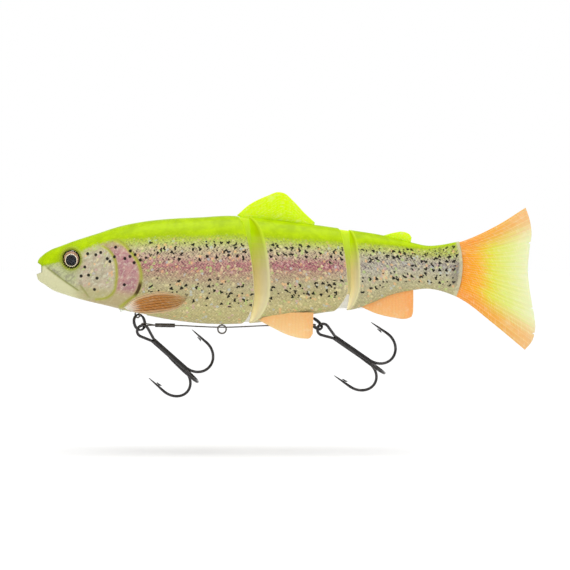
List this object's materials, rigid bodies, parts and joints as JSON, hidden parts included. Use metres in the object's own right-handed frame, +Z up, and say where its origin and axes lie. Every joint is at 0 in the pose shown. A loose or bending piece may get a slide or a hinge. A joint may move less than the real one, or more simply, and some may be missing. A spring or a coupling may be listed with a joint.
{
  "type": "swimbait",
  "caption": "Jointed soft trout swimbait with a through tube for the line, two V-groove hinges, fins, a wire trace and swinging treble hooks.",
  "frame": {"origin": "mouth of the line tube, on the mid-plane", "axes": "+X from nose to tail, +Y to the fish's right, +Z up towards the back"},
  "size_m": [0.2004, 0.0294, 0.0832],
  "materials": {
    "printed_soft_rubber": "glossy translucent soft rubber with a printed trout skin and glitter",
    "bare_soft_rubber": "bare translucent soft rubber",
    "nylon_net": "fine woven nylon",
    "eye_print": "printed foil",
    "clear_resin": "polished clear resin",
    "clear_tube": "smooth drawn tube",
    "ballast_metal": "dull cast metal",
    "back_fin_rubber": "chartreuse translucent soft rubber",
    "pectoral_rubber": "printed soft rubber",
    "tinted_fin_rubber": "orange to yellow translucent soft rubber",
    "dark_wire": "dark coated steel",
    "black_nickel": "black nickel plating"
  },
  "bodies": {
    "front": {"front_body": "printed_soft_rubber", "left_eye_disc": "eye_print", "left_eye_dome": "clear_resin", "right_eye_disc": "eye_print", "right_eye_dome": "clear_resin", "line_tube": "clear_tube", "front_ballast": "ballast_metal", "front_net": "nylon_net", "front_hinge_web": "bare_soft_rubber", "left_pectoral_fin": "pectoral_rubber", "right_pectoral_fin": "pectoral_rubber", "belly_eyelet": "dark_wire", "front_hook_pin": "dark_wire", "trace_wire": "dark_wire", "front_crimp_sleeve": "dark_wire"},
    "mid": {"mid_body": "printed_soft_rubber", "dorsal_fin": "back_fin_rubber", "left_pelvic_fin": "tinted_fin_rubber", "right_pelvic_fin": "tinted_fin_rubber", "mid_ballast": "ballast_metal", "rear_crimp_sleeve": "dark_wire", "rear_hook_pin": "dark_wire"},
    "rear": {"rear_body": "printed_soft_rubber", "adipose_fin": "back_fin_rubber", "anal_fin": "tinted_fin_rubber", "caudal_fin": "tinted_fin_rubber", "rear_net": "nylon_net", "rear_hinge_web": "bare_soft_rubber"},
    "front_ring": {"front_split_ring": "black_nickel"},
    "front_treble": {"front_treble_double": "black_nickel", "front_treble_single": "black_nickel"},
    "rear_ring": {"rear_split_ring": "black_nickel"},
    "rear_treble": {"rear_treble_double": "black_nickel", "rear_treble_single": "black_nickel"}
  },
  "joints": [
    {"name": "front_bend", "type": "hinge", "parent": "front", "child": "mid", "pos_m": [0.08065, 0, 0], "axis": [-0.0872, 0, 0.9962], "range_deg": [-18, 18], "deforming": ["front_hinge_web", "front_net", "trace_wire"]},
    {"name": "rear_bend", "type": "hinge", "parent": "mid", "child": "rear", "pos_m": [0.1202, 0, 0], "axis": [-0.0558, 0, 0.9984], "range_deg": [-24, 24], "deforming": ["rear_hinge_web", "rear_net"]},
    {"name": "front_ring_swing", "type": "hinge", "parent": "front", "child": "front_ring", "pos_m": [0.0365, 0, -0.01837], "axis": [0, 1, 0], "range_deg": [-4, 8]},
    {"name": "front_treble_swing", "type": "hinge", "parent": "front_ring", "child": "front_treble", "pos_m": [0.03815, 0, -0.02445], "axis": [0, 1, 0], "range_deg": [-6, 95]},
    {"name": "rear_ring_swing", "type": "hinge", "parent": "mid", "child": "rear_ring", "pos_m": [0.10562, 0, -0.01991], "axis": [0, 1, 0], "range_deg": [-6, 14]},
    {"name": "rear_treble_swing", "type": "hinge", "parent": "rear_ring", "child": "rear_treble", "pos_m": [0.1105, 0, -0.0239], "axis": [0, 1, 0], "range_deg": [-14, 80]}
  ]
}
